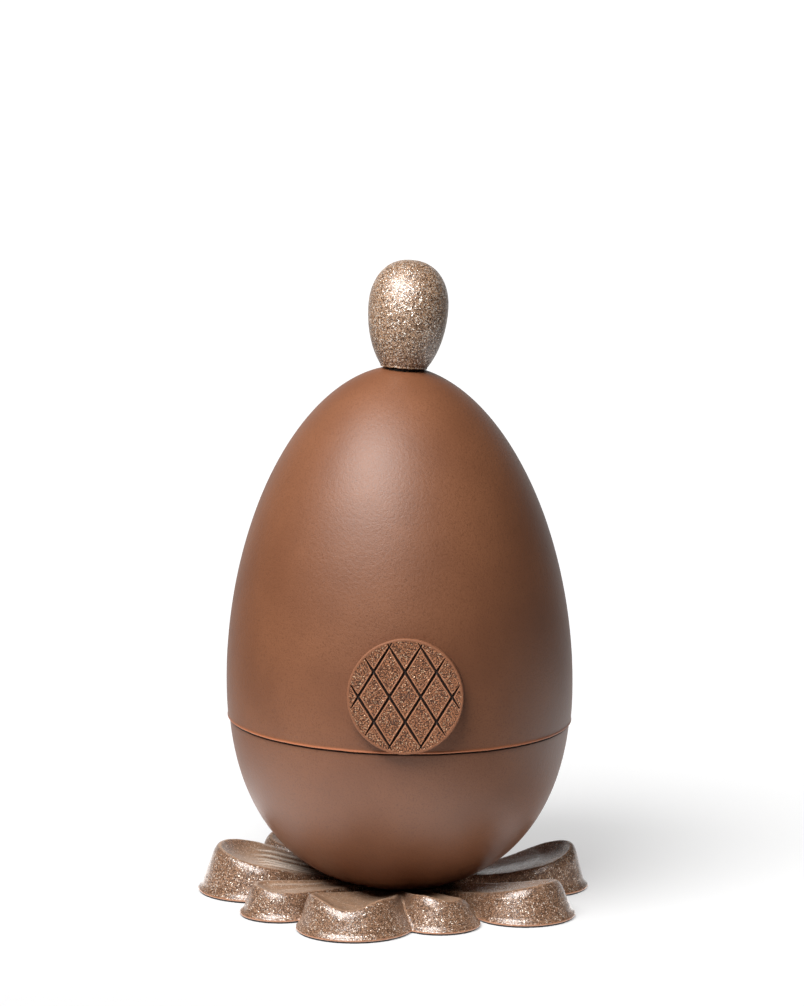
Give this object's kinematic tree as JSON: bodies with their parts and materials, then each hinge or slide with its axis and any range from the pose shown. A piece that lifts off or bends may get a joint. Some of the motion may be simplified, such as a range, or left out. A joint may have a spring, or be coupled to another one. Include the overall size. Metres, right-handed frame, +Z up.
{
  "type": "chocolate egg",
  "caption": "Shut two-part milk chocolate egg on a shimmering petal base, with a round lattice medallion on its front and a small egg-shaped knob on top.",
  "frame": {"origin": "on the base's flat underside, below the egg's axis", "axes": "+Z up along the egg; the medallion faces -Y; +X to the right of the face with the medallion"},
  "size_m": [0.1246, 0.1327, 0.2023],
  "materials": {
    "milk_chocolate": "smooth satin milk chocolate, moulded",
    "gold_dusted_chocolate": "milk chocolate with a fine grain and gold dust between engraved lines",
    "shimmer_base": "moulded chocolate dusted with fine bronze shimmer",
    "shimmer_knob": "moulded chocolate dusted with coarse pale bronze shimmer"
  },
  "bodies": {
    "root": {"base_rosette": "shimmer_base", "egg_cup": "milk_chocolate", "egg_lid": "milk_chocolate", "medallion": "gold_dusted_chocolate", "knob": "shimmer_knob"}
  },
  "joints": []
}
